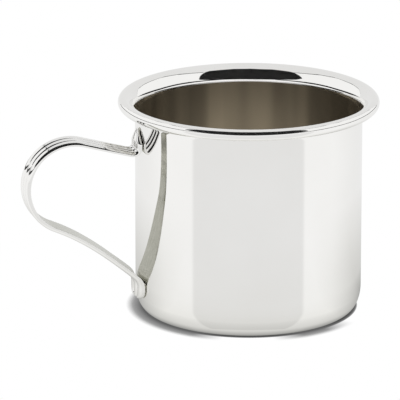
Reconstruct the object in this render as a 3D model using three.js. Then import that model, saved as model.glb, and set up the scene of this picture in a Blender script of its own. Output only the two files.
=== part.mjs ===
// Baby cup: a drawn sheet-metal body with a flared lip, a half-round rim wire and a reeded strap handle.
// Millimetres. The base stands on z = 0, the cup's axis is z, and the handle points along -x.
import * as THREE from 'three';

// Body
const HEIGHT = 63.5;
const WALL_RADIUS = 33.1;
const SHEET = 0.8;
const CORNER_RUN = 3.2;
const CORNER_RISE = 6.8;

// Rim
const RIM_OVERHANG = 4.95;
const BEAD_RADIUS = 1.64;
const FLARE_DROP = 5.3;
const FILLET = 1.2;

// Strap
const STRAP_THICK = 1.4;
const STRAP_EDGE = 0.15;
const UPPER_WIDTH = 7.8;
const LOWER_WIDTH = 11.2;
const REEDS = 3;
const REED_FULLNESS = 1.0;
const UPPER_POINT = 4.8;
const POINT_CURVE = 1.25;
const POINT_BLUNT = 0.5;
const LOWER_TIP_ROUND = 3.4;
const TIP_BLUNT = 0.3;
const WIDEN_FROM = 0.4;
const WIDEN_TO = 0.95;
const WRAP_FULL = 1;
const WRAP_NONE = 8;

// Handle route, in the upright plane through the axis
const LOOP_RADIUS = 13.25;
const LOOP_REACH = 33.95;
const ARM_SLOPE = THREE.MathUtils.degToRad(16);
const LEAVE_SLOPE = THREE.MathUtils.degToRad(23);
const ARRIVE_SLOPE = THREE.MathUtils.degToRad(43);
const LEAVE_LENGTH = 9;
const ARRIVE_LENGTH = 10;
const UPPER_BEND = 2.8;
const LOWER_BEND = 2.0;
const FOOT_UNDER_FLARE = 1.7;
const UPPER_FOOT = 7.6;
const LOWER_FOOT = 6.0;
const LOWER_TIP = 4.9;

// Fit of the soldered pieces
const SEAT = 0.15;
const FOOT_GAP = 0.4;
const SOLDER_CLEAR = 0.1;
const SOLDER_INSET = 0.8;
const SOLDER_END = 1.2;

// Steps of the round surfaces
const AROUND = 64;
const CORNER_STEPS = 6;
const FLARE_STEPS = 6;
const LIP_STEPS = 4;
const WIRE_STEPS = 12;
const STRAP_STEPS = 112;
const INNER_STEPS = 4;
const REED_STEPS = 5;

// The rim is one round bead, shared by the edge of the lip and the wire outside it
const bead = new THREE.Vector2(WALL_RADIUS + RIM_OVERHANG - BEAD_RADIUS, HEIGHT - BEAD_RADIUS);
const lipTurn = Math.acos((BEAD_RADIUS - SHEET) / BEAD_RADIUS);
const wireTurn = Math.acos((BEAD_RADIUS - SHEET - 2 * SEAT) / BEAD_RADIUS);

// The flare is one round that leaves the wall upright and runs on into the bead
const bore = WALL_RADIUS - SHEET;
const flareStart = HEIGHT - FLARE_DROP;
const lipReach = bead.x - bore;
const lipRise = bead.y - flareStart;
const flareRadius = (lipReach ** 2 + lipRise ** 2 - BEAD_RADIUS ** 2) / (2 * (lipReach - BEAD_RADIUS));
const flareCentre = new THREE.Vector2(bore + flareRadius, flareStart);
const lipLean = Math.atan2(lipRise, flareRadius - lipReach);
const lipSide = Math.PI - lipLean;

const footRadius = WALL_RADIUS + FOOT_GAP + STRAP_THICK / 2;
const upperTip = flareStart - FOOT_UNDER_FLARE;
const lowerBend = LOWER_TIP + LOWER_FOOT;

const silver = { color: 0xe4e2dd, metalness: 1.0, roughness: 0.08 };
const solder = { color: 0xc9c6bf, metalness: 1.0, roughness: 0.3 };

function aroundBead(radius, angle) {
  return pointOn(bead, radius, angle);
}

// Points from one end of an evenly stepped run to the other, both ends included
function steps(count, point) {
  return Array.from({ length: count + 1 }, (_, i) => point(i / count));
}

function flare(radius) {
  return steps(FLARE_STEPS, (s) => pointOn(flareCentre, radius, Math.PI - s * lipLean));
}

// Quarter ellipse between the base and the wall
function corner(run, rise, share) {
  const angle = (share - 1) * Math.PI / 2;
  const x = WALL_RADIUS - CORNER_RUN + run * Math.cos(angle);
  return new THREE.Vector2(x, CORNER_RISE + rise * Math.sin(angle));
}

// Outer radius of the body at a height
function wallAt(z) {
  if (z < CORNER_RISE) {
    const drop = (CORNER_RISE - z) / CORNER_RISE;
    return WALL_RADIUS - CORNER_RUN * (1 - Math.sqrt(1 - drop * drop));
  }
  const risen = Math.max(0, z - flareStart);
  return flareCentre.x - Math.sqrt((flareRadius - SHEET) ** 2 - risen * risen);
}

// A turned piece from its half section
function turned(profile) {
  return new THREE.LatheGeometry(profile, AROUND).rotateX(Math.PI / 2);
}

function cupBody() {
  const lip = steps(LIP_STEPS, (s) => aroundBead(BEAD_RADIUS, lipSide - (1 - s) * lipTurn));
  const inner = [
    new THREE.Vector2(0, SHEET),
    ...steps(CORNER_STEPS, (s) => corner(CORNER_RUN - SHEET, CORNER_RISE - SHEET, s)),
    ...flare(flareRadius),
  ];
  const outer = [
    new THREE.Vector2(0, 0),
    ...steps(CORNER_STEPS, (s) => corner(CORNER_RUN, CORNER_RISE, s)),
    ...flare(flareRadius - SHEET),
  ];
  return turned([...outer, ...lip.slice(0, -1), ...inner.reverse()]);
}

// Half-round wire: the bead's round outside, and a flat that seats on the lip
function rimWire() {
  const round = 2 * Math.PI - 2 * wireTurn;
  const section = steps(WIRE_STEPS, (s) => aroundBead(BEAD_RADIUS, lipSide + wireTurn + s * round));
  return turned([...section, section[0].clone()]);
}

// Fillet of solder in the crease under the rim wire
function rimSolder() {
  const crease = aroundBead(BEAD_RADIUS, lipSide + wireTurn);
  const along = steps(2, (s) => {
    const z = THREE.MathUtils.lerp(crease.y - FILLET, crease.y - SEAT, s);
    return new THREE.Vector2(wallAt(z) + SEAT, z);
  });
  const under = steps(LIP_STEPS, (s) => {
    const turn = THREE.MathUtils.lerp(SEAT, FILLET, s) / BEAD_RADIUS;
    return aroundBead(BEAD_RADIUS + SEAT, lipSide + wireTurn + turn);
  });
  const section = [...along, ...under].reverse();
  return turned([...section, section[0].clone()]);
}

// Middle line of the strap: x is the distance from the cup's axis, y is the height
function strapRoute() {
  const upperCorner = new THREE.Vector2(footRadius, upperTip - UPPER_FOOT);
  const lowerCorner = new THREE.Vector2(footRadius, lowerBend);
  const loopStart = Math.PI / 2 + ARM_SLOPE;
  const loopEnd = LEAVE_SLOPE - Math.PI / 2;
  const loop = loopCentre(upperCorner);
  const armStart = pointOn(upperCorner, UPPER_BEND, ARM_SLOPE);
  const armEnd = pointOn(loop, LOOP_RADIUS, loopStart);
  const leave = pointOn(loop, LOOP_RADIUS, loopEnd);
  const leavePull = pointOn(leave, LEAVE_LENGTH, Math.PI + LEAVE_SLOPE);
  const arrive = pointOn(lowerCorner, LOWER_BEND, ARRIVE_SLOPE);
  const arrivePull = pointOn(arrive, ARRIVE_LENGTH, ARRIVE_SLOPE);
  const route = new THREE.Path();
  route.moveTo(footRadius, upperTip);
  route.lineTo(upperCorner.x, upperCorner.y + UPPER_BEND);
  route.quadraticCurveTo(upperCorner.x, upperCorner.y, armStart.x, armStart.y);
  route.lineTo(armEnd.x, armEnd.y);
  route.absarc(loop.x, loop.y, LOOP_RADIUS, loopStart, loopEnd, true);
  route.bezierCurveTo(leavePull.x, leavePull.y, arrivePull.x, arrivePull.y, arrive.x, arrive.y);
  route.quadraticCurveTo(lowerCorner.x, lowerCorner.y, lowerCorner.x, lowerCorner.y - LOWER_BEND);
  route.lineTo(footRadius, LOWER_TIP);
  return route;
}

// The loop is a round whose top runs on into the sloping arm
function loopCentre(upperCorner) {
  const x = WALL_RADIUS + LOOP_REACH - LOOP_RADIUS;
  const armRun = x - LOOP_RADIUS * Math.sin(ARM_SLOPE) - upperCorner.x;
  const armTop = upperCorner.y + armRun * Math.tan(ARM_SLOPE);
  return new THREE.Vector2(x, armTop - LOOP_RADIUS * Math.cos(ARM_SLOPE));
}

function pointOn(centre, radius, angle) {
  return new THREE.Vector2(centre.x + radius * Math.cos(angle), centre.y + radius * Math.sin(angle));
}

// Share of the full width left at a distance from the pointed upper tip
function upperShare(distance) {
  const short = 1 - Math.min(distance + POINT_BLUNT, UPPER_POINT) / UPPER_POINT;
  return 1 - short ** POINT_CURVE;
}

// Share of the full width left at a distance from the rounded lower tip
function lowerShare(distance) {
  const short = 1 - Math.min(distance + TIP_BLUNT, LOWER_TIP_ROUND) / LOWER_TIP_ROUND;
  return Math.sqrt(1 - short * short);
}

function strapWidth(share) {
  const widened = THREE.MathUtils.smoothstep(share, WIDEN_FROM, WIDEN_TO);
  return THREE.MathUtils.lerp(UPPER_WIDTH, LOWER_WIDTH, widened);
}

// Strap section as pairs of distance across and distance outward from the middle line:
// a flat inside, low edges, and round reeds on the outside, which are shallower where the strap is narrow
function strapSection(width) {
  const half = width / 2;
  const reed = half / REEDS;
  const depth = Math.min(STRAP_THICK - STRAP_EDGE, REED_FULLNESS * reed);
  const back = -STRAP_THICK / 2;
  const groove = back + STRAP_EDGE;
  const inside = steps(INNER_STEPS, (s) => [half - s * width, back]);
  const reeds = Array.from({ length: REEDS }, (_, i) => (2 * i + 1) * reed - half).flatMap((middle) => {
    return Array.from({ length: REED_STEPS }, (_, i) => {
      const angle = (i / REED_STEPS) * Math.PI;
      return [middle - reed * Math.cos(angle), groove + depth * Math.sin(angle)];
    });
  });
  return [...inside, ...reeds, [half, groove]];
}

// The strap is swept along its route, widening downward, with both feet curved to the wall
function handleStrap() {
  const route = strapRoute();
  const length = route.getLength();
  const rings = steps(STRAP_STEPS, (s) => {
    const middle = route.getPointAt(s);
    const along = route.getTangentAt(s);
    const fromLower = (1 - s) * length;
    const ends = upperShare(s * length) * lowerShare(fromLower);
    const width = strapWidth(s);
    return strapSection(width * ends).map(([across, out]) => {
      const radius = middle.x - along.y * out;
      const wrap = radius - Math.sqrt(radius * radius - across * across);
      const near = 1 - THREE.MathUtils.smoothstep(middle.x - footRadius, WRAP_FULL, WRAP_NONE);
      return new THREE.Vector3(-(radius - wrap * near), across, middle.y + along.x * out);
    });
  });
  return loft(rings);
}

// Closed skin over a row of rings that all have the same number of points
function loft(rings) {
  const count = rings[0].length;
  const index = [];
  for (let r = 0; r + 1 < rings.length; r += 1) {
    for (let p = 0; p < count; p += 1) {
      const a = r * count + p;
      const b = r * count + (p + 1) % count;
      index.push(a, b, a + count, b, b + count, a + count);
    }
  }
  const last = (rings.length - 1) * count;
  for (const [a, b, c] of capFaces(rings[0])) {
    index.push(a, b, c);
  }
  for (const [a, b, c] of capFaces(rings[rings.length - 1])) {
    index.push(last + c, last + b, last + a);
  }
  const skin = new THREE.BufferGeometry().setFromPoints(rings.flat());
  skin.setIndex(index);
  skin.computeVertexNormals();
  return skin;
}

// Triangles of an end ring, seen as a flat outline across and outward
function capFaces(ring) {
  return THREE.ShapeUtils.triangulateShape(ring.map((v) => new THREE.Vector2(v.y, -v.x)), []);
}

// Solder between a foot and the wall, following both
function footSolder(low, high, width) {
  const film = new THREE.BoxGeometry(1, width, high - low, 1, INNER_STEPS, INNER_STEPS);
  film.translate(0, 0, (low + high) / 2);
  const place = film.getAttribute('position');
  for (let i = 0; i < place.count; i += 1) {
    const y = place.getY(i);
    const z = place.getZ(i);
    const radius = place.getX(i) > 0 ? wallAt(z) + SOLDER_CLEAR : WALL_RADIUS + FOOT_GAP - SOLDER_CLEAR;
    place.setX(i, -Math.sqrt(radius * radius - y * y));
  }
  return film;
}

function upperSolder() {
  const width = UPPER_WIDTH * upperShare(SOLDER_END) - 2 * SOLDER_INSET;
  const low = upperTip - UPPER_FOOT + UPPER_BEND;
  return footSolder(low, upperTip - SOLDER_END, width);
}

function lowerSolder() {
  const width = LOWER_WIDTH * lowerShare(SOLDER_END) - 2 * SOLDER_INSET;
  const high = lowerBend - LOWER_BEND;
  return footSolder(LOWER_TIP + SOLDER_END, high, width);
}

function piece(name, geometry, finish) {
  const mesh = new THREE.Mesh(geometry, new THREE.MeshStandardMaterial(finish));
  mesh.name = name;
  return mesh;
}

const cup = new THREE.Group();
cup.add(piece('cup_body', cupBody(), silver));
cup.add(piece('rim_wire', rimWire(), silver));
cup.add(piece('rim_solder_seam', rimSolder(), solder));
cup.add(piece('handle_strap', handleStrap(), silver));
cup.add(piece('upper_foot_solder', upperSolder(), solder));
cup.add(piece('lower_foot_solder', lowerSolder(), solder));

export default cup;
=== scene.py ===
import math

import bmesh
import bpy
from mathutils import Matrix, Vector


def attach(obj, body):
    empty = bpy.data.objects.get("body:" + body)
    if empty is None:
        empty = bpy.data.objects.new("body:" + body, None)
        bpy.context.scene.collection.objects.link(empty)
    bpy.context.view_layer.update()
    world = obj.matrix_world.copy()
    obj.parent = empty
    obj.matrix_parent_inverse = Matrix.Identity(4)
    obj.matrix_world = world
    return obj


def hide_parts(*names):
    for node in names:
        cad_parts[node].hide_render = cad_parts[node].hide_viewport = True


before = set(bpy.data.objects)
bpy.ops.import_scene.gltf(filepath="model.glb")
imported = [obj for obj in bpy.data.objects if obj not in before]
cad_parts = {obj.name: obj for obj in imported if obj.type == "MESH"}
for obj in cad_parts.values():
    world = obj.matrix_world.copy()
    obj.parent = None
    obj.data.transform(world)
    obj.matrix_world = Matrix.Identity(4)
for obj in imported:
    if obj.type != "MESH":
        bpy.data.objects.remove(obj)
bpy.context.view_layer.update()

MM = 0.001

# Sizes of the cup in millimetres, as in the CAD source, but with a slightly wider fillet under the rim
HEIGHT = 63.5
WALL_RADIUS = 33.1
SHEET = 0.8
CORNER_RUN = 3.2
CORNER_RISE = 6.8
RIM_OVERHANG = 4.95
BEAD_RADIUS = 1.64
FLARE_DROP = 5.3
FILLET = 1.5

# Sizes of the strap, as in the CAD source, with fine rounding of its edges and tips
STRAP_THICK = 1.4
STRAP_EDGE = 0.15
UPPER_WIDTH = 7.8
LOWER_WIDTH = 11.2
REEDS = 3
REED_FULLNESS = 1.0
UPPER_POINT = 4.8
POINT_CURVE = 1.25
POINT_BLUNT = 0.5
LOWER_TIP_ROUND = 3.4
WIDEN_FROM = 0.4
WIDEN_TO = 0.95
WRAP_FULL = 1.0
WRAP_NONE = 8.0
EDGE_ROUND = 0.07
EDGE_ROUND_SHARE = 0.1
STRAP_CREASE = math.radians(25)
TIP_THIN = 0.7

# Route of the handle, as in the CAD source, but with the feet closer to the wall
LOOP_RADIUS = 13.25
LOOP_REACH = 33.95
ARM_SLOPE = math.radians(16)
LEAVE_SLOPE = math.radians(23)
ARRIVE_SLOPE = math.radians(43)
LEAVE_LENGTH = 9.0
ARRIVE_LENGTH = 10.0
UPPER_BEND = 2.8
LOWER_BEND = 2.0
FOOT_UNDER_FLARE = 1.7
UPPER_FOOT = 7.6
LOWER_FOOT = 6.0
LOWER_TIP = 4.9
FOOT_GAP = 0.25

# Solder: how far it runs into what it joins, the crease it fills under the bead, and how far the films
# stay inside the feet's edges and ends
SOLDER_SINK = 0.02
CREASE = 0.1
FILM_LAYERS = [(-SOLDER_SINK, 0.2), (0.1, 0.05), (FOOT_GAP + SOLDER_SINK, 0.0)]
UPPER_FILM_INSET = 1.6
UPPER_FILM_BEND_END = 1.6
UPPER_FILM_TIP_END = 1.0
LOWER_FILM_INSET = 1.0
LOWER_FILM_BEND_END = 0.6
LOWER_FILM_TIP_END = 0.25

# The inside is satin up to this height
SATIN_TOP = 58.9

# Mesh steps
AROUND = 288
CORNER_STEPS = 24
WALL_STEPS = 10
FLARE_STEPS = 40
BEAD_STEPS = 40
FILLET_STEPS = 10
ROUTE_STEPS = 400
REED_STEPS = 16
INSIDE_STEPS = 8
EDGE_STEPS = 4
TIP_STEPS = 24
TIP_ZONE = 5
TIP_START = 0.02
FILM_STEPS = 16
CARD_STEPS = 120
CARD_ROWS = 6
ON_AXIS = 1e-6
SHARP_ANGLE = math.radians(40)

BEAD = (WALL_RADIUS + RIM_OVERHANG - BEAD_RADIUS, HEIGHT - BEAD_RADIUS)
FLARE_START = HEIGHT - FLARE_DROP
BORE = WALL_RADIUS - SHEET
LIP_REACH = BEAD[0] - BORE
LIP_RISE = BEAD[1] - FLARE_START
FLARE_RADIUS = (LIP_REACH ** 2 + LIP_RISE ** 2 - BEAD_RADIUS ** 2) / (2 * (LIP_REACH - BEAD_RADIUS))
FLARE_CENTRE = (BORE + FLARE_RADIUS, FLARE_START)
LIP_LEAN = math.atan2(LIP_RISE, FLARE_RADIUS - LIP_REACH)
LIP_SIDE = math.pi - LIP_LEAN
LIP_TURN = math.acos((BEAD_RADIUS - SHEET) / BEAD_RADIUS)
WIRE_TURN = math.acos((BEAD_RADIUS - SHEET - CREASE) / BEAD_RADIUS)
FOOT_RADIUS = WALL_RADIUS + FOOT_GAP + STRAP_THICK / 2
UPPER_TIP = FLARE_START - FOOT_UNDER_FLARE
LOWER_BEND_Z = LOWER_TIP + LOWER_FOOT

# Camera: turn round the cup, rise, distance and aim in metres, lens and sensor in millimetres
CAMERA_TURN = math.radians(-16.5)
CAMERA_RISE = math.radians(16.81)
CAMERA_DISTANCE = 1.362
CAMERA_LENS = 418.8
CAMERA_SENSOR = 36
AIM_HEIGHT = 0.0301
AIM_RIGHT = -0.01416
AIM_UP = 0.0016

# Finishes: tones by noise, from its low stop to its high stop
BUMP_DEPTH = 0.0001
POLISHED_TONES = [(0.3, (0.875, 0.868, 0.85)), (0.7, (0.9, 0.895, 0.88))]
# The satin's dark tones are its own colour and partly painted shade of the cup's inside
SATIN_SHADED_TONES = [(0.35, (0.155, 0.13, 0.092)), (0.65, (0.25, 0.21, 0.148))]
DULL_TONES = [(0.3, (0.5, 0.5, 0.44)), (0.7, (0.6, 0.6, 0.54))]
SOLDER_TONES = [(0.3, (0.62, 0.61, 0.58)), (0.7, (0.76, 0.75, 0.72))]

# Studio cards: their distance in metres, their edges as turns from the camera and heights of view in
# degrees, and their tones
CARD_DISTANCE = 1.9
CARD_ROUGHNESS = 0.9
ALL_ROUND = (-180, 180)
HOOD_TOP = [(-76, 66), (-74, 69), (-65, 77), (-5, 83), (50, 80), (71, 71), (77, 68.5)]
HOOD_LOW = [(-76, 65), (-69, 55), (-65, 45), (-63, 36), (-52, 26), (-40, 21), (-28, 17), (-8, 14),
            (30, 16), (47, 21), (55, 26), (58, 38), (61, 46), (66, 56), (77, 68)]
HOOD_GREY = 0.045
GAP_MIDDLE = [(28, 17), (57, 17), (76, 16), (89, 14), (104, 11), (121, 9.5), (135, 8), (150, 5)]
GAP_HALF = [(28, 1.2), (50, 2.5), (66, 3.4), (104, 2.8), (150, 1.5)]
GAP_GREY = 0.02
PANEL_EDGE = [(74, 62), (89, 60), (115, 55), (132, 47), (137, 40), (144, 32), (148, 24), (149, 13)]
EDGE_HALF = [(74, 1.1), (149, 1.1)]
EDGE_GREY = 0.06
CEILING_LOW = [(0, 84), (60, 80), (74, 62), (89, 60), (115, 55), (132, 47), (137, 40), (144, 32),
               (148, 24), (150, 0.3), (180, 0.3)]
CEILING_TOP = 89.9
CEILING_TONE = 0.84
CEILING_BACK = 1.08
RING_LOW = -60
RING_HIGH = 0.3

# Brightness of the floor's mirror image by turn, from behind the cup round to the front and back
FLOOR_TONES = [
    (0.0, 0.86), (0.17, 0.95), (0.24, 1.0), (0.335, 1.0), (0.345, 0.86),
    (0.655, 0.86), (0.665, 1.0), (0.76, 1.0), (0.83, 0.95), (1.0, 0.86),
]

# Floor: size in metres and colour
FLOOR_HALF = 6
FLOOR_CELLS = 8
FLOOR_COLOUR = (0.8, 0.8, 0.8, 1)

# Share of the wide shade on the floor by turn. Elsewhere, in front and on the right, the shade is tight.
# Each shade has a reach in metres, and levels by how open the view up from the floor is.
FLOOR_SHADE = [(0.0, 1.0), (0.42, 1.0), (0.465, 0.0), (0.535, 0.0), (0.58, 1.0), (0.62, 1.0), (0.67, 0.0)]
SHADE_SAMPLES = 32
WIDE_REACH = 0.0045
WIDE_SHADE = [(0.3, 0.12), (0.7, 0.35), (0.97, 1.0)]
TIGHT_REACH = 0.0011
TIGHT_SHADE = [(0.15, 0.06), (0.6, 0.14), (0.85, 0.35), (0.97, 1.0)]

# Painted shade of the floor in the mirror finish, darker close to the cup, by nearness, from 0 at the
# shade's reach in metres to 1 on the axis, and the share of the side shade by turn
MIRRORED_SHADE_REACH = 0.2
FRONT_MIRRORED_SHADE = [(0.4, (1, 1, 1)), (0.7, (0.97, 0.97, 0.96)), (0.8, (0.92, 0.92, 0.9)),
              (0.835, (0.75, 0.75, 0.73)), (0.848, (0.35, 0.35, 0.34))]
SIDE_MIRRORED_SHADE = [(0.3, (1, 1, 1)), (0.465, (0.92, 0.92, 0.91)), (0.72, (0.74, 0.74, 0.72)),
             (0.848, (0.35, 0.35, 0.34))]
SIDE_SHADE_SHARE = [(0.2, 1.0), (0.34, 0.0), (0.66, 0.0), (0.8, 1.0)]

# World: its light on the object, and its strength where it is seen directly or in gloss
WORLD_LIGHT = 0.04
WORLD_SEEN = 1.0

# Lamps: turn from the camera and rise in degrees, then power in watts. All point at the far side of the
# inside, at a height in millimetres.
LAMP_DISTANCE = 1.2
LAMP_AIM_HEIGHT = 28
LAMP_SIZE = 0.3
BEAM_SIZE = 0.01
BEAM_ANGLE = math.radians(2.8)
FRONT_LAMP = (0, 40, 95)
FILL_LAMP = (0, 36, 2.2)
BACK_LAMP = (180, 62, 13)

# Sockets of the colour mix node, which has one set for each kind of data
MIX_UNDER = 6
MIX_OVER = 7
MIX_RESULT = 2


def lerp(a, b, share):
    return a + (b - a) * share


def lerp_points(a, b, share):
    return tuple(lerp(p, q, share) for p, q in zip(a, b))


def smoothstep(value, low, high):
    share = min(1.0, max(0.0, (value - low) / (high - low)))
    return share * share * (3 - 2 * share)


def point_on(centre, radius, angle):
    return (centre[0] + radius * math.cos(angle), centre[1] + radius * math.sin(angle))


def quadratic(a, b, c, share):
    rest = 1 - share
    return tuple(rest * rest * p + 2 * rest * share * q + share * share * r for p, q, r in zip(a, b, c))


def cubic(a, b, c, d, share):
    return lerp_points(quadratic(a, b, c, share), quadratic(b, c, d, share), share)


def run(count, point):
    return [point(i / count) for i in range(count + 1)]


# Turned forms of the cup, as half sections of radius and height

# The flare leaves the wall upright and runs on into the bead
def flare(radius):
    return run(FLARE_STEPS, lambda s: point_on(FLARE_CENTRE, radius, math.pi - s * LIP_LEAN))


def corner(run_out, rise, share):
    angle = (share - 1) * math.pi / 2
    return (WALL_RADIUS - CORNER_RUN + run_out * math.cos(angle), CORNER_RISE + rise * math.sin(angle))


def wall_at(z):
    if z < CORNER_RISE:
        drop = (CORNER_RISE - z) / CORNER_RISE
        return WALL_RADIUS - CORNER_RUN * (1 - math.sqrt(1 - drop * drop))
    risen = max(0.0, z - FLARE_START)
    return FLARE_CENTRE[0] - math.sqrt((FLARE_RADIUS - SHEET) ** 2 - risen * risen)


def new_object(name, bm, materials, sharp=SHARP_ANGLE):
    bmesh.ops.recalc_face_normals(bm, faces=bm.faces)
    mesh = bpy.data.meshes.new(name)
    bm.to_mesh(mesh)
    bm.free()
    mesh.set_sharp_from_angle(angle=sharp)
    for material in materials:
        mesh.materials.append(material)
    obj = bpy.data.objects.new(name, mesh)
    bpy.context.scene.collection.objects.link(obj)
    return obj


def turn_profile(bm, profile, closed, slot_of=lambda a, b: 0):
    rings = []
    for radius, z in profile:
        if radius < ON_AXIS:
            rings.append([bm.verts.new((0, 0, z * MM))])
            continue
        ring = []
        for i in range(AROUND):
            angle = 2 * math.pi * i / AROUND
            ring.append(bm.verts.new((radius * MM * math.cos(angle), radius * MM * math.sin(angle), z * MM)))
        rings.append(ring)
    last = len(rings) if closed else len(rings) - 1
    for r in range(last):
        a, b = rings[r], rings[(r + 1) % len(rings)]
        slot = slot_of(profile[r], profile[(r + 1) % len(profile)])
        for i in range(AROUND):
            j = (i + 1) % AROUND
            corners = [a[i % len(a)], a[j % len(a)], b[j % len(b)], b[i % len(b)]]
            face = bm.faces.new(list(dict.fromkeys(corners)))
            face.smooth = True
            face.material_index = slot


def cup_shell(outside, inside):
    outer = [(0, 0)]
    outer += run(CORNER_STEPS, lambda s: corner(CORNER_RUN, CORNER_RISE, s))
    outer += run(WALL_STEPS, lambda s: (WALL_RADIUS, lerp(CORNER_RISE, FLARE_START, s)))[1:-1]
    outer += flare(FLARE_RADIUS - SHEET)
    lip = run(BEAD_STEPS, lambda s: point_on(BEAD, BEAD_RADIUS, LIP_SIDE - (1 - s) * LIP_TURN))
    inner = [(0, SHEET)]
    inner += run(CORNER_STEPS, lambda s: corner(CORNER_RUN - SHEET, CORNER_RISE - SHEET, s))
    inner += run(WALL_STEPS, lambda s: (BORE, lerp(CORNER_RISE, FLARE_START, s)))[1:-1]
    inner += flare(FLARE_RADIUS)
    profile = outer + lip[:-1] + inner[::-1]
    satin = set(p for p in inner if p[1] < SATIN_TOP)
    bm = bmesh.new()
    turn_profile(bm, profile, False, lambda a, b: 1 if a in satin and b in satin else 0)
    return new_object("cup_body_shell", bm, [outside, inside])


# The wire: the bead without the part that the lip fills
def rim_bead(material):
    start = LIP_SIDE - LIP_TURN
    sweep = start - LIP_SIDE - WIRE_TURN + 2 * math.pi
    section = run(2 * BEAD_STEPS, lambda s: point_on(BEAD, BEAD_RADIUS, start - s * sweep))
    bm = bmesh.new()
    turn_profile(bm, section, True)
    return new_object("rim_bead", bm, [material])


# Hollow fillet of solder where the underside of the bead meets the flare
def rim_fillet(material):
    crease = point_on(BEAD, BEAD_RADIUS, LIP_SIDE + WIRE_TURN)
    low = (wall_at(crease[1] - FILLET) - SOLDER_SINK, crease[1] - FILLET)
    under = point_on(BEAD, BEAD_RADIUS - SOLDER_SINK, LIP_SIDE + WIRE_TURN + FILLET / BEAD_RADIUS)
    hollow = run(FILLET_STEPS, lambda s: quadratic(low, crease, under, s))
    back = (crease[0] - CREASE, crease[1] + CREASE)
    bm = bmesh.new()
    turn_profile(bm, hollow + [back], True)
    return new_object("rim_fillet", bm, [material])


# Handle: a route in the upright plane, x outward from the axis and y up

def strap_route():
    upper = (FOOT_RADIUS, UPPER_TIP - UPPER_FOOT)
    lower = (FOOT_RADIUS, LOWER_BEND_Z)
    loop_start = math.pi / 2 + ARM_SLOPE
    loop_end = LEAVE_SLOPE - math.pi / 2
    loop_x = WALL_RADIUS + LOOP_REACH - LOOP_RADIUS
    arm_run = loop_x - LOOP_RADIUS * math.sin(ARM_SLOPE) - upper[0]
    loop = (loop_x, upper[1] + arm_run * math.tan(ARM_SLOPE) - LOOP_RADIUS * math.cos(ARM_SLOPE))
    upper_tip = (FOOT_RADIUS, UPPER_TIP)
    bend_top = (upper[0], upper[1] + UPPER_BEND)
    arm_start = point_on(upper, UPPER_BEND, ARM_SLOPE)
    arm_end = point_on(loop, LOOP_RADIUS, loop_start)
    leave = point_on(loop, LOOP_RADIUS, loop_end)
    leave_pull = point_on(leave, LEAVE_LENGTH, math.pi + LEAVE_SLOPE)
    arrive = point_on(lower, LOWER_BEND, ARRIVE_SLOPE)
    arrive_pull = point_on(arrive, ARRIVE_LENGTH, ARRIVE_SLOPE)
    bend_low = (lower[0], lower[1] - LOWER_BEND)
    lower_tip = (FOOT_RADIUS, LOWER_TIP)
    lines = [
        lambda s: lerp_points(upper_tip, bend_top, s),
        lambda s: quadratic(bend_top, upper, arm_start, s),
        lambda s: lerp_points(arm_start, arm_end, s),
        lambda s: point_on(loop, LOOP_RADIUS, lerp(loop_start, loop_end, s)),
        lambda s: cubic(leave, leave_pull, arrive_pull, arrive, s),
        lambda s: quadratic(arrive, lower, bend_low, s),
        lambda s: lerp_points(bend_low, lower_tip, s),
    ]
    points = [upper_tip]
    for line in lines:
        points += run(ROUTE_STEPS, line)[1:]
    return points


# The route walked by length: its middle and its direction at any distance from the upper tip
class Walk:
    def __init__(self, points):
        self.points = points
        self.at = [0.0]
        for a, b in zip(points, points[1:]):
            self.at.append(self.at[-1] + math.dist(a, b))
        self.length = self.at[-1]
        self.place = 0

    def step(self, distance):
        while self.place + 2 < len(self.at) and self.at[self.place + 1] < distance:
            self.place += 1
        a, b = self.points[self.place], self.points[self.place + 1]
        span = self.at[self.place + 1] - self.at[self.place]
        share = (distance - self.at[self.place]) / span
        along = ((b[0] - a[0]) / span, (b[1] - a[1]) / span)
        return lerp_points(a, b, share), along


# Share of the full width left at a distance from the pointed upper tip
def upper_share(distance):
    return 1 - (1 - min(distance + POINT_BLUNT, UPPER_POINT) / UPPER_POINT) ** POINT_CURVE


# Share of the full width or thickness left at a distance from a rounded tip
def tip_share(distance, length):
    short = 1 - min(distance, length) / length
    return math.sqrt(1 - short * short)


def strap_width(share):
    return lerp(UPPER_WIDTH, LOWER_WIDTH, smoothstep(share, WIDEN_FROM, WIDEN_TO))


# Section of the strap as pairs of distance across and distance from its inner face
def strap_section(width):
    half = width / 2
    reed = half / REEDS
    depth = min(STRAP_THICK - STRAP_EDGE, REED_FULLNESS * reed)
    soft = min(EDGE_ROUND, EDGE_ROUND_SHARE * width)
    right = run(EDGE_STEPS, lambda s: quadratic((half - soft, 0), (half, 0), (half, soft), s))
    left = [(-across, out) for across, out in right]
    inside = run(INSIDE_STEPS, lambda s: (lerp(half - soft, soft - half, s), 0.0))
    reeds = []
    for number in range(REEDS):
        middle = (2 * number + 1) * reed - half
        reeds += run(REED_STEPS, lambda s: (
            middle - reed * math.cos(s * math.pi), STRAP_EDGE + depth * math.sin(s * math.pi)))[:-1]
    return inside + left[1:] + reeds + [(half, STRAP_EDGE)] + right[::-1][:-1]


# Distances along the strap, closer together near both tips
def strap_stations(length):
    near = run(TIP_STEPS, lambda s: TIP_ZONE * s * s + TIP_START)
    between = run(ROUTE_STEPS, lambda s: lerp(near[-1], length - near[-1], s))[1:-1]
    return near + between + [length - distance for distance in near[::-1]]


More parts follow.
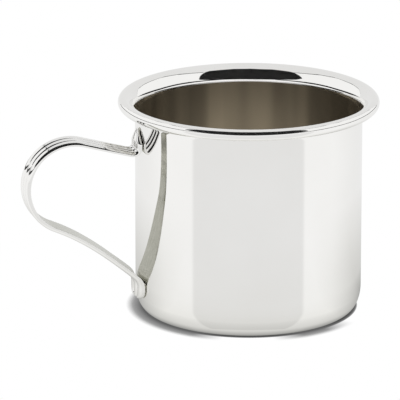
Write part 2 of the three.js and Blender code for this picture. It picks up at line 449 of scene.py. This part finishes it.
def handle_strap(outside, inner_face):
    walk = Walk(strap_route())
    bm = bmesh.new()
    rings = []
    for distance in strap_stations(walk.length):
        middle, along = walk.step(distance)
        left = walk.length - distance
        width = strap_width(distance / walk.length)
        width *= upper_share(distance) * tip_share(left, LOWER_TIP_ROUND)
        thin = tip_share(min(distance, left), TIP_THIN)
        near = 1 - smoothstep(middle[0] - FOOT_RADIUS, WRAP_FULL, WRAP_NONE)
        ring = []
        for across, height in strap_section(width):
            out = height * thin - STRAP_THICK / 2
            radius = middle[0] - along[1] * out
            wrap = radius - math.sqrt(radius * radius - across * across)
            ring.append(bm.verts.new((
                -(radius - wrap * near) * MM, across * MM, (middle[1] + along[0] * out) * MM)))
        rings.append(ring)
    skin(bm, rings, INSIDE_STEPS)
    return new_object("handle_reeded", bm, [outside, inner_face], STRAP_CREASE)


# Skin over a row of rings; the first faces of each ring may take the second material
def skin(bm, rings, second=0):
    for a, b in zip(rings, rings[1:]):
        for i in range(len(a)):
            j = (i + 1) % len(a)
            face = bm.faces.new((a[i], a[j], b[j], b[i]))
            face.smooth = True
            face.material_index = 1 if i < second else 0
    bm.faces.new(rings[0])
    bm.faces.new(rings[-1][::-1])


# Film of solder under a foot, spreading a little onto the wall round its edge
def foot_fillet(name, low, high, width_at, material):
    bm = bmesh.new()
    sides = run(INSIDE_STEPS, lambda s: 2 * s - 1)
    rings = []
    for share in run(FILM_STEPS, lambda s: (1 - math.cos(s * math.pi)) / 2):
        z = lerp(low, high, share)
        half = width_at(z) / 2
        wall = wall_at(z)
        rows = [[(layer, side * (half + spill)) for side in sides] for layer, spill in FILM_LAYERS]
        between = rows[1:-1]
        outline = rows[0] + [row[-1] for row in between] + rows[-1][::-1] + [row[0] for row in between[::-1]]
        ring = []
        for layer, across in outline:
            radius = wall + layer
            reach = math.sqrt(radius * radius - across * across)
            ring.append(bm.verts.new((-reach * MM, across * MM, z * MM)))
        rings.append(ring)
    skin(bm, rings)
    return new_object(name, bm, [material])


def upper_fillet(material):
    def width_at(z):
        return UPPER_WIDTH * upper_share(UPPER_TIP - z) - UPPER_FILM_INSET

    low = UPPER_TIP - UPPER_FOOT + UPPER_FILM_BEND_END
    return foot_fillet("upper_foot_fillet", low, UPPER_TIP - UPPER_FILM_TIP_END, width_at, material)


def lower_fillet(material):
    def width_at(z):
        return LOWER_WIDTH * tip_share(z - LOWER_TIP, LOWER_TIP_ROUND) - LOWER_FILM_INSET

    high = LOWER_BEND_Z - LOWER_FILM_BEND_END
    return foot_fillet("lower_foot_fillet", LOWER_TIP + LOWER_FILM_TIP_END, high, width_at, material)


# Materials

def node_material(name):
    material = bpy.data.materials.new(name)
    material.use_nodes = True
    tree = material.node_tree
    return material, tree, tree.nodes["Principled BSDF"]


# A material with an empty surface, for the stage
def bare_material(name):
    material, tree, shader = node_material(name)
    tree.nodes.remove(shader)
    return material, tree, tree.nodes["Material Output"].inputs["Surface"]


def add(tree, kind, **values):
    node = tree.nodes.new(kind)
    for key, value in values.items():
        setattr(node, key, value)
    return node


def noise(tree, coords, scale, detail, stretch=(1, 1, 1)):
    mapping = add(tree, "ShaderNodeMapping")
    mapping.inputs["Scale"].default_value = stretch
    tree.links.new(coords.outputs["Object"], mapping.inputs["Vector"])
    texture = add(tree, "ShaderNodeTexNoise")
    texture.inputs["Scale"].default_value = scale
    texture.inputs["Detail"].default_value = detail
    tree.links.new(mapping.outputs["Vector"], texture.inputs["Vector"])
    return texture.outputs["Fac"]


def ramp(tree, source, stops):
    node = add(tree, "ShaderNodeValToRGB")
    elements = node.color_ramp.elements
    while len(elements) < len(stops):
        elements.new(0.5)
    for element, (position, colour) in zip(elements, stops):
        element.position = position
        element.color = (*colour, 1)
    tree.links.new(source, node.inputs["Fac"])
    return node.outputs["Color"]


def grey_ramp(tree, source, stops):
    return ramp(tree, source, [(position, (level, level, level)) for position, level in stops])


def spread(tree, source, low, high):
    node = add(tree, "ShaderNodeMapRange")
    node.inputs["To Min"].default_value = low
    node.inputs["To Max"].default_value = high
    tree.links.new(source, node.inputs["Value"])
    return node.outputs["Result"]


def bump(tree, source, strength):
    node = add(tree, "ShaderNodeBump")
    node.inputs["Strength"].default_value = strength
    node.inputs["Distance"].default_value = BUMP_DEPTH
    tree.links.new(source, node.inputs["Height"])
    return node.outputs["Normal"]


# Mirror polish with faint smears and ripples
def polished_silver(name, ripples, smears):
    material, tree, shader = node_material(name)
    coords = add(tree, "ShaderNodeTexCoord")
    tone = noise(tree, coords, scale=45, detail=3)
    smear = noise(tree, coords, scale=120, detail=4, stretch=(1, 1, 0.3))
    ripple = noise(tree, coords, scale=60, detail=1)
    shader.inputs["Metallic"].default_value = 1.0
    tree.links.new(ramp(tree, tone, POLISHED_TONES), shader.inputs["Base Color"])
    tree.links.new(spread(tree, smear, *smears), shader.inputs["Roughness"])
    tree.links.new(bump(tree, ripple, ripples), shader.inputs["Normal"])
    return material


# Inside of the cup: a fine satin grain, lapped in soft upright streaks, in dark tones that are the satin's
# colour and partly painted shade of the inside
def satin_silver():
    material, tree, shader = node_material("satin_silver")
    coords = add(tree, "ShaderNodeTexCoord")
    streak = noise(tree, coords, scale=150, detail=1, stretch=(1, 1, 0.05))
    grain = noise(tree, coords, scale=2200, detail=2)
    shader.inputs["Metallic"].default_value = 0.3
    shader.inputs["Specular IOR Level"].default_value = 0.25
    tree.links.new(ramp(tree, streak, SATIN_SHADED_TONES), shader.inputs["Base Color"])
    tree.links.new(spread(tree, grain, low=0.42, high=0.55), shader.inputs["Roughness"])
    tree.links.new(bump(tree, grain, strength=0.25), shader.inputs["Normal"])
    return material


# Inner face of the strap: plain, duller than the reeded side, with a fine brushed grain
def dull_silver():
    material, tree, shader = node_material("dull_silver")
    coords = add(tree, "ShaderNodeTexCoord")
    tone = noise(tree, coords, scale=260, detail=3, stretch=(1, 4, 1))
    shader.inputs["Metallic"].default_value = 1.0
    tree.links.new(ramp(tree, tone, DULL_TONES), shader.inputs["Base Color"])
    tree.links.new(spread(tree, tone, low=0.18, high=0.3), shader.inputs["Roughness"])
    tree.links.new(bump(tree, tone, strength=0.1), shader.inputs["Normal"])
    return material


def silver_solder():
    material, tree, shader = node_material("silver_solder")
    coords = add(tree, "ShaderNodeTexCoord")
    tone = noise(tree, coords, scale=700, detail=3)
    shader.inputs["Metallic"].default_value = 1.0
    tree.links.new(ramp(tree, tone, SOLDER_TONES), shader.inputs["Base Color"])
    tree.links.new(spread(tree, tone, low=0.14, high=0.3), shader.inputs["Roughness"])
    tree.links.new(bump(tree, tone, strength=0.2), shader.inputs["Normal"])
    return material


# Stage: a pale floor, white surroundings, soft light, and what the mirror finish shows of the studio

def towards(turn, rise):
    return Vector((math.sin(turn) * math.cos(rise), -math.cos(turn) * math.cos(rise), math.sin(rise)))


def place_camera():
    back = towards(CAMERA_TURN, CAMERA_RISE)
    right = Vector((math.cos(CAMERA_TURN), math.sin(CAMERA_TURN), 0))
    up = back.cross(right)
    middle = Vector((0, 0, AIM_HEIGHT))
    eye = middle + back * CAMERA_DISTANCE
    target = middle + right * AIM_RIGHT + up * AIM_UP
    data = bpy.data.cameras.new("camera")
    data.lens = CAMERA_LENS
    data.sensor_width = CAMERA_SENSOR
    camera = bpy.data.objects.new("camera", data)
    camera.location = eye
    camera.rotation_euler = (target - eye).to_track_quat("-Z", "Y").to_euler()
    bpy.context.scene.collection.objects.link(camera)
    bpy.context.scene.camera = camera


def larger(tree, a, b):
    node = add(tree, "ShaderNodeMath", operation="MAXIMUM")
    tree.links.new(a, node.inputs[0])
    tree.links.new(b, node.inputs[1])
    return node.outputs["Value"]


def white_world():
    world = bpy.data.worlds.new("studio")
    world.use_nodes = True
    tree = world.node_tree
    background = tree.nodes["Background"]
    background.inputs["Color"].default_value = (1, 1, 1, 1)
    path = add(tree, "ShaderNodeLightPath")
    seen = larger(tree, path.outputs["Is Camera Ray"], path.outputs["Is Glossy Ray"])
    seen = larger(tree, seen, path.outputs["Is Transmission Ray"])
    tree.links.new(spread(tree, seen, WORLD_LIGHT, WORLD_SEEN), background.inputs["Strength"])
    bpy.context.scene.world = world


# Turn round the cup from behind it, 0, by the left and the front, 0.5, to behind it again, 1
def floor_turn(tree):
    coords = add(tree, "ShaderNodeTexCoord")
    mapping = add(tree, "ShaderNodeMapping")
    mapping.inputs["Rotation"].default_value = (0, 0, math.pi / 2 - CAMERA_TURN)
    tree.links.new(coords.outputs["Object"], mapping.inputs["Vector"])
    turn = add(tree, "ShaderNodeTexGradient", gradient_type="RADIAL")
    tree.links.new(mapping.outputs["Vector"], turn.inputs["Vector"])
    return turn.outputs["Fac"]


# Nearness to the axis, from 0 at the painted shade's reach to 1 on the axis
def floor_nearness(tree):
    coords = add(tree, "ShaderNodeTexCoord")
    mapping = add(tree, "ShaderNodeMapping")
    mapping.inputs["Scale"].default_value = (1 / MIRRORED_SHADE_REACH, 1 / MIRRORED_SHADE_REACH, 1 / MIRRORED_SHADE_REACH)
    tree.links.new(coords.outputs["Object"], mapping.inputs["Vector"])
    nearness = add(tree, "ShaderNodeTexGradient", gradient_type="SPHERICAL")
    tree.links.new(mapping.outputs["Vector"], nearness.inputs["Vector"])
    return nearness.outputs["Fac"]


# One colour over another by a share
def blend(tree, share, over, under):
    mix = add(tree, "ShaderNodeMix", data_type="RGBA")
    tree.links.new(share, mix.inputs["Factor"])
    tree.links.new(under, mix.inputs[MIX_UNDER])
    tree.links.new(over, mix.inputs[MIX_OVER])
    return mix.outputs[MIX_RESULT]


# One shader in place of another for one kind of ray
def by_ray(tree, ray, shader, other):
    mix = add(tree, "ShaderNodeMixShader")
    tree.links.new(ray, mix.inputs["Fac"])
    tree.links.new(other, mix.inputs[1])
    tree.links.new(shader, mix.inputs[2])
    return mix.outputs["Shader"]


# Shade on the floor by how much of the view up from it the cup takes, within a short reach
def near_shade(tree, reach, levels):
    nearness = add(tree, "ShaderNodeAmbientOcclusion", samples=SHADE_SAMPLES)
    nearness.inputs["Distance"].default_value = reach
    return grey_ramp(tree, nearness.outputs["AO"], levels)


# Pale floor. The camera sees it white, with the shade the cup casts close round its base. The mirror
# finish looks through it to the tone ring, with painted shade that makes it a little darker close to the
# cup.
def floor_plane():
    material, tree, surface = bare_material("floor")
    turn = floor_turn(tree)
    nearness = floor_nearness(tree)
    path = add(tree, "ShaderNodeLightPath")
    diffuse = add(tree, "ShaderNodeBsdfDiffuse")
    diffuse.inputs["Color"].default_value = FLOOR_COLOUR
    shade = blend(tree, grey_ramp(tree, turn, FLOOR_SHADE), near_shade(tree, WIDE_REACH, WIDE_SHADE),
                  near_shade(tree, TIGHT_REACH, TIGHT_SHADE))
    shown = add(tree, "ShaderNodeEmission")
    tree.links.new(shade, shown.inputs["Color"])
    # Painted shade: the floor as the mirror finish sees it darkens close to the cup
    mirrored_shade = blend(tree, grey_ramp(tree, turn, SIDE_SHADE_SHARE), ramp(tree, nearness, SIDE_MIRRORED_SHADE),
                 ramp(tree, nearness, FRONT_MIRRORED_SHADE))
    through = add(tree, "ShaderNodeBsdfTransparent")
    tree.links.new(mirrored_shade, through.inputs["Color"])
    unseen = by_ray(tree, path.outputs["Is Glossy Ray"], through.outputs["BSDF"], diffuse.outputs["BSDF"])
    tree.links.new(by_ray(tree, path.outputs["Is Camera Ray"], shown.outputs["Emission"], unseen), surface)
    bm = bmesh.new()
    bmesh.ops.create_grid(bm, x_segments=FLOOR_CELLS, y_segments=FLOOR_CELLS, size=FLOOR_HALF)
    floor = new_object("floor", bm, [material])


# Height of view along a card's edge, between the points that draw it
def edge_at(edge, turn):
    for (a, low), (b, high) in zip(edge, edge[1:]):
        if turn <= b:
            return lerp(low, high, max(0.0, turn - a) / (b - a))
    return edge[-1][1]


# A card bent round the cup, seen only in the mirror finish
def studio_card(name, turns, low, high, material, back=1.0):
    bm = bmesh.new()
    columns = []
    for turn in run(CARD_STEPS, lambda s: lerp(*turns, s)):
        column = []
        for rise in run(CARD_ROWS, lambda s: lerp(low(turn), high(turn), s)):
            way = towards(CAMERA_TURN + math.radians(turn), math.radians(rise))
            column.append(bm.verts.new(way * CARD_DISTANCE * back))
        columns.append(column)
    for a, b in zip(columns, columns[1:]):
        for i in range(len(a) - 1):
            bm.faces.new((a[i], a[i + 1], b[i + 1], b[i]))
    card = new_object(name, bm, [material])
    card.visible_camera = False
    card.visible_diffuse = False
    card.visible_shadow = False


# A pair of dark strips, right and left of the camera, along a middle line
def strip_cards(name, line, half, material):
    for side, word in ((1, "right"), (-1, "left")):
        studio_card(f"{name}_{word}", (side * line[0][0], side * line[-1][0]),
                    lambda t: edge_at(line, abs(t)) - edge_at(half, abs(t)),
                    lambda t: edge_at(line, abs(t)) + edge_at(half, abs(t)), material)


def card_paint(name, grey):
    material, tree, shader = node_material(name)
    shader.inputs["Base Color"].default_value = (grey, grey, grey, 1)
    shader.inputs["Roughness"].default_value = CARD_ROUGHNESS
    return material


def glow_paint(name, tone):
    material, tree, surface = bare_material(name)
    lit = add(tree, "ShaderNodeEmission")
    lit.inputs["Color"].default_value = (tone, tone, tone, 1)
    tree.links.new(lit.outputs["Emission"], surface)
    return material


# What lies past the floor's edge all round, as brightness by turn
def tone_paint():
    material, tree, surface = bare_material("tone_ring")
    lit = add(tree, "ShaderNodeEmission")
    tree.links.new(grey_ramp(tree, floor_turn(tree), FLOOR_TONES), lit.inputs["Color"])
    tree.links.new(lit.outputs["Emission"], surface)
    return material


# The hood over the camera, the dark gap under the side panels, the panels' dark edges, the ceiling and
# the ring under the floor
def studio_cards():
    studio_card("camera_hood", (HOOD_TOP[0][0], HOOD_TOP[-1][0]), lambda t: edge_at(HOOD_LOW, t),
                lambda t: edge_at(HOOD_TOP, t), card_paint("hood", HOOD_GREY))
    strip_cards("gap", GAP_MIDDLE, GAP_HALF, card_paint("gap", GAP_GREY))
    strip_cards("panel_edge", PANEL_EDGE, EDGE_HALF, card_paint("panel_edge", EDGE_GREY))
    studio_card("ceiling", ALL_ROUND, lambda t: edge_at(CEILING_LOW, abs(t)), lambda t: CEILING_TOP,
                glow_paint("ceiling", CEILING_TONE), CEILING_BACK)
    studio_card("tone_ring", ALL_ROUND, lambda t: RING_LOW, lambda t: RING_HIGH, tone_paint())


def place_lamp(data, turn, rise, power):
    data.energy = power
    lamp = bpy.data.objects.new(data.name, data)
    far_side = towards(CAMERA_TURN + math.pi, 0) * BORE * MM
    way = towards(CAMERA_TURN + math.radians(turn), math.radians(rise))
    lamp.location = far_side + Vector((0, 0, LAMP_AIM_HEIGHT * MM)) + way * LAMP_DISTANCE
    lamp.rotation_euler = way.to_track_quat("Z", "Y").to_euler()
    lamp.visible_camera = False
    lamp.visible_glossy = False
    bpy.context.scene.collection.objects.link(lamp)


def soft_lamp(name, place):
    data = bpy.data.lights.new(name, "AREA")
    data.shape = "DISK"
    data.size = LAMP_SIZE
    place_lamp(data, *place)


# A lamp whose light fades out evenly from the middle of its beam
def beam_lamp(name, place):
    data = bpy.data.lights.new(name, "SPOT")
    data.shadow_soft_size = BEAM_SIZE
    data.spot_size = BEAM_ANGLE
    data.spot_blend = 1.0
    place_lamp(data, *place)


silver = polished_silver("polished_silver", ripples=0.05, smears=(0.015, 0.05))
drawn = polished_silver("drawn_silver", ripples=0.01, smears=(0.06, 0.1))
satin = satin_silver()
solder = silver_solder()
dull = dull_silver()

pieces = [
    (cup_shell(silver, satin), "cup_body", "polished_silver"),
    (rim_bead(silver), "rim_wire", "polished_silver"),
    (rim_fillet(solder), "rim_solder_seam", "silver_solder"),
    (handle_strap(drawn, dull), "handle_strap", "polished_silver"),
    (upper_fillet(solder), "upper_foot_solder", "silver_solder"),
    (lower_fillet(solder), "lower_foot_solder", "silver_solder"),
]
for piece, node, slot in pieces:
    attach(piece, "root")
    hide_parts(node)

white_world()
floor_plane()
studio_cards()
beam_lamp("front_lamp", FRONT_LAMP)
soft_lamp("fill_lamp", FILL_LAMP)
soft_lamp("back_lamp", BACK_LAMP)
place_camera()
bpy.context.scene.view_settings.view_transform = "Standard"
